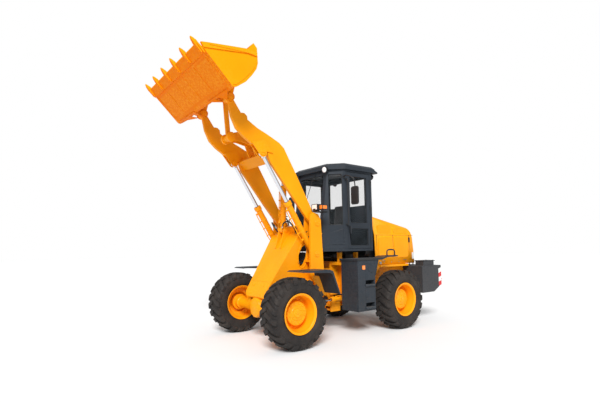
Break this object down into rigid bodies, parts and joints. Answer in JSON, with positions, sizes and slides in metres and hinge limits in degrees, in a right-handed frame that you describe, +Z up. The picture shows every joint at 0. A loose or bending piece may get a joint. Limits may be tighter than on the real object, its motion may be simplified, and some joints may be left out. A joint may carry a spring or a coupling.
{
  "type": "articulated wheel loader",
  "caption": "Compact articulated wheel loader with an enclosed cab, Z-bar boom raised to full height and a toothed bucket rolled back",
  "frame": {"origin": "on the ground, under the middle of the machine's length and width", "axes": "+X forward towards the bucket, +Y to the machine's left, +Z up"},
  "size_m": [6.1746, 2.27, 4.846],
  "materials": {
    "loader_yellow": "satin",
    "cab_grey": "satin",
    "weight_grey": "satin",
    "black_parts": "matte",
    "drive_iron": "matte",
    "tyre_rubber": "matte",
    "chrome_steel": "polished",
    "seat_cloth": "woven",
    "window_glass": "polished",
    "lamp_lens": "polished",
    "amber_lens": "gloss",
    "red_lens": "gloss",
    "mirror_glass": "polished",
    "hose_rubber": "matte",
    "stripe_white": "satin",
    "stripe_red": "satin"
  },
  "bodies": {
    "rear": {"rear_frame": "loader_yellow", "rear_axle": "loader_yellow", "transmission": "drive_iron", "engine": "drive_iron", "counterweight": "weight_grey", "side_tank_left": "cab_grey", "side_tank_right": "cab_grey", "deck_left": "cab_grey", "deck_right": "cab_grey", "cab_shell": "cab_grey", "cab_floor": "cab_grey", "cab_roof": "cab_grey", "seat": "seat_cloth", "dashboard": "black_parts", "mirror_left": "black_parts", "mirror_right": "black_parts"},
    "front": {"front_frame": "loader_yellow", "front_axle": "loader_yellow", "fender_left": "cab_grey", "fender_right": "cab_grey", "head_lamp_left": "black_parts", "head_lamp_right": "black_parts"},
    "boom": {"boom": "loader_yellow"},
    "bellcrank_pin": {"bellcrank_pin": "chrome_steel"},
    "bellcrank": {"bellcrank": "loader_yellow"},
    "link_pin": {"link_pin": "chrome_steel"},
    "bucket_link": {"bucket_link": "loader_yellow"},
    "bucket_pins": {"bucket_pin_left": "chrome_steel", "bucket_pin_right": "chrome_steel"},
    "bucket": {"bucket": "loader_yellow", "cutting_edge": "loader_yellow"},
    "tilt_base_pin": {"tilt_base_pin": "chrome_steel"},
    "tilt_barrel": {"tilt_barrel": "loader_yellow"},
    "tilt_rod": {"tilt_rod": "chrome_steel"},
    "hood": {"hood": "loader_yellow"},
    "steering_wheel": {"steering_wheel": "black_parts"},
    "lift_barrel_left": {"lift_barrel_left": "loader_yellow"},
    "lift_rod_left": {"lift_rod_left": "chrome_steel"},
    "steering_barrel_left": {"steering_barrel_left": "loader_yellow"},
    "steering_rod_left": {"steering_rod_left": "chrome_steel"},
    "cab_door_left": {"cab_door_left": "cab_grey"},
    "wheel_front_left": {"tyre_front_left": "tyre_rubber", "rim_front_left": "loader_yellow"},
    "wheel_rear_left": {"tyre_rear_left": "tyre_rubber", "rim_rear_left": "loader_yellow"},
    "lift_barrel_right": {"lift_barrel_right": "loader_yellow"},
    "lift_rod_right": {"lift_rod_right": "chrome_steel"},
    "steering_barrel_right": {"steering_barrel_right": "loader_yellow"},
    "steering_rod_right": {"steering_rod_right": "chrome_steel"},
    "cab_door_right": {"cab_door_right": "cab_grey"},
    "wheel_front_right": {"tyre_front_right": "tyre_rubber", "rim_front_right": "loader_yellow"},
    "wheel_rear_right": {"tyre_rear_right": "tyre_rubber", "rim_rear_right": "loader_yellow"}
  },
  "joints": [
    {"name": "steer", "type": "hinge", "parent": "rear", "child": "front", "pos_m": [-0.172, 0, 0.8], "axis": [0, 0, 1], "range_deg": [-33, 33]},
    {"name": "boom_lift", "type": "hinge", "parent": "front", "child": "boom", "pos_m": [0.408, 0, 2.1], "axis": [0, -1, 0], "range_deg": [-90, 0]},
    {"name": "bucket_pin_turn", "type": "hinge", "parent": "boom", "child": "bucket_pins", "pos_m": [2.21, 0, 4.12], "axis": [0, -1, 0], "range_deg": [0, 52.16]},
    {"name": "bucket_tilt", "type": "hinge", "parent": "bucket_pins", "child": "bucket", "pos_m": [2.21, 0, 4.12], "axis": [0, 1, 0], "range_deg": [0, 80]},
    {"name": "bellcrank_pin_turn", "type": "hinge", "parent": "boom", "child": "bellcrank_pin", "pos_m": [1.488, 0, 3.62], "axis": [0, -1, 0], "range_deg": [-32.75, 0]},
    {"name": "bellcrank_turn", "type": "hinge", "parent": "bellcrank_pin", "child": "bellcrank", "pos_m": [1.488, 0, 3.62], "axis": [0, -1, 0], "range_deg": [0, 26.08]},
    {"name": "link_pin_turn", "type": "hinge", "parent": "bellcrank", "child": "link_pin", "pos_m": [1.94, 0, 3.6], "axis": [0, -1, 0], "range_deg": [0, 33.19]},
    {"name": "link_turn", "type": "hinge", "parent": "link_pin", "child": "bucket_link", "pos_m": [1.94, 0, 3.6], "axis": [0, -1, 0], "range_deg": [-61.52, 0]},
    {"name": "tilt_pin_turn", "type": "hinge", "parent": "front", "child": "tilt_base_pin", "pos_m": [0.762, 0, 1.985], "axis": [0, -1, 0], "range_deg": [-98.24, 0]},
    {"name": "tilt_barrel_turn", "type": "hinge", "parent": "tilt_base_pin", "child": "tilt_barrel", "pos_m": [0.762, 0, 1.985], "axis": [0, -1, 0], "range_deg": [-11.81, 0]},
    {"name": "tilt_rod_slide", "type": "slide", "parent": "tilt_barrel", "child": "tilt_rod", "axis": [-0.0258, 0, 0.9997], "range_m": [-0.2867, 0]},
    {"name": "lift_barrel_turn_left", "type": "hinge", "parent": "front", "child": "lift_barrel_left", "pos_m": [0.428, 0.5, 1.52], "axis": [0, -1, 0], "range_deg": [-83.54, 0]},
    {"name": "lift_rod_slide_left", "type": "slide", "parent": "lift_barrel_left", "child": "lift_rod_left", "axis": [0.5392, 0, 0.8422], "range_m": [-0.8008, 0]},
    {"name": "steering_barrel_turn_left", "type": "hinge", "parent": "rear", "child": "steering_barrel_left", "pos_m": [-0.722, 0.36, 0.62], "axis": [0, 0, 1], "range_deg": [-13.85, 13.85]},
    {"name": "steering_rod_slide_left", "type": "slide", "parent": "steering_barrel_left", "child": "steering_rod_left", "axis": [0.9998, 0.0213, 0], "range_m": [-0.2129, 0.2129]},
    {"name": "door_left", "type": "hinge", "parent": "rear", "child": "cab_door_left", "pos_m": [-0.944, 0.705, 2.4], "axis": [0, 0, 1], "range_deg": [0, 150]},
    {"name": "wheel_front_left_roll", "type": "hinge", "parent": "front", "child": "wheel_front_left", "pos_m": [1.228, 0.93, 0.58], "axis": [0, 1, 0], "continuous": true},
    {"name": "wheel_rear_left_roll", "type": "hinge", "parent": "rear", "child": "wheel_rear_left", "pos_m": [-1.452, 0.93, 0.58], "axis": [0, 1, 0], "continuous": true},
    {"name": "lift_barrel_turn_right", "type": "hinge", "parent": "front", "child": "lift_barrel_right", "pos_m": [0.428, -0.5, 1.52], "axis": [0, -1, 0], "range_deg": [-83.54, 0]},
    {"name": "lift_rod_slide_right", "type": "slide", "parent": "lift_barrel_right", "child": "lift_rod_right", "axis": [0.5392, 0, 0.8422], "range_m": [-0.8008, 0]},
    {"name": "steering_barrel_turn_right", "type": "hinge", "parent": "rear", "child": "steering_barrel_right", "pos_m": [-0.722, -0.36, 0.62], "axis": [0, 0, 1], "range_deg": [-13.85, 13.85]},
    {"name": "steering_rod_slide_right", "type": "slide", "parent": "steering_barrel_right", "child": "steering_rod_right", "axis": [0.9998, -0.0213, 0], "range_m": [-0.2129, 0.2129]},
    {"name": "door_right", "type": "hinge", "parent": "rear", "child": "cab_door_right", "pos_m": [-0.944, -0.705, 2.4], "axis": [0, 0, -1], "range_deg": [0, 150]},
    {"name": "wheel_front_right_roll", "type": "hinge", "parent": "front", "child": "wheel_front_right", "pos_m": [1.228, -0.93, 0.58], "axis": [0, 1, 0], "continuous": true},
    {"name": "wheel_rear_right_roll", "type": "hinge", "parent": "rear", "child": "wheel_rear_right", "pos_m": [-1.452, -0.93, 0.58], "axis": [0, 1, 0], "continuous": true},
    {"name": "hood_lid", "type": "hinge", "parent": "rear", "child": "hood", "pos_m": [-2.622, 0, 1.256], "axis": [0, -1, 0], "range_deg": [0, 60]},
    {"name": "steering_wheel_turn", "type": "hinge", "parent": "rear", "child": "steering_wheel", "pos_m": [-0.169, 0, 2.142], "axis": [-0.5145, 0, 0.8575], "range_deg": [-265, 265]}
  ],
  "couplings": [
    {"joint": "bucket_pin_turn", "follows": "boom_lift", "ratio": -0.57844},
    {"joint": "bellcrank_pin_turn", "follows": "boom_lift", "ratio": 0.36277},
    {"joint": "bellcrank_turn", "follows": "bucket_tilt", "ratio": 0.3248},
    {"joint": "link_pin_turn", "follows": "boom_lift", "ratio": -0.36765},
    {"joint": "link_turn", "follows": "bucket_tilt", "ratio": -0.76776},
    {"joint": "tilt_pin_turn", "follows": "boom_lift", "ratio": 1.0904},
    {"joint": "tilt_barrel_turn", "follows": "bucket_tilt", "ratio": -0.14636},
    {"joint": "tilt_rod_slide", "follows": "bucket_tilt", "m_per_rad": -0.20389},
    {"joint": "lift_barrel_turn_left", "follows": "boom_lift", "ratio": 0.92714},
    {"joint": "lift_rod_slide_left", "follows": "boom_lift", "m_per_rad": 0.50851},
    {"joint": "steering_barrel_turn_left", "follows": "steer", "ratio": 0.41661},
    {"joint": "steering_rod_slide_left", "follows": "steer", "m_per_rad": -0.3661},
    {"joint": "lift_barrel_turn_right", "follows": "boom_lift", "ratio": 0.92714},
    {"joint": "lift_rod_slide_right", "follows": "boom_lift", "m_per_rad": 0.50851},
    {"joint": "steering_barrel_turn_right", "follows": "steer", "ratio": 0.41661},
    {"joint": "steering_rod_slide_right", "follows": "steer", "m_per_rad": 0.3661},
    {"joint": "steering_wheel_turn", "follows": "steer", "ratio": 8}
  ]
}
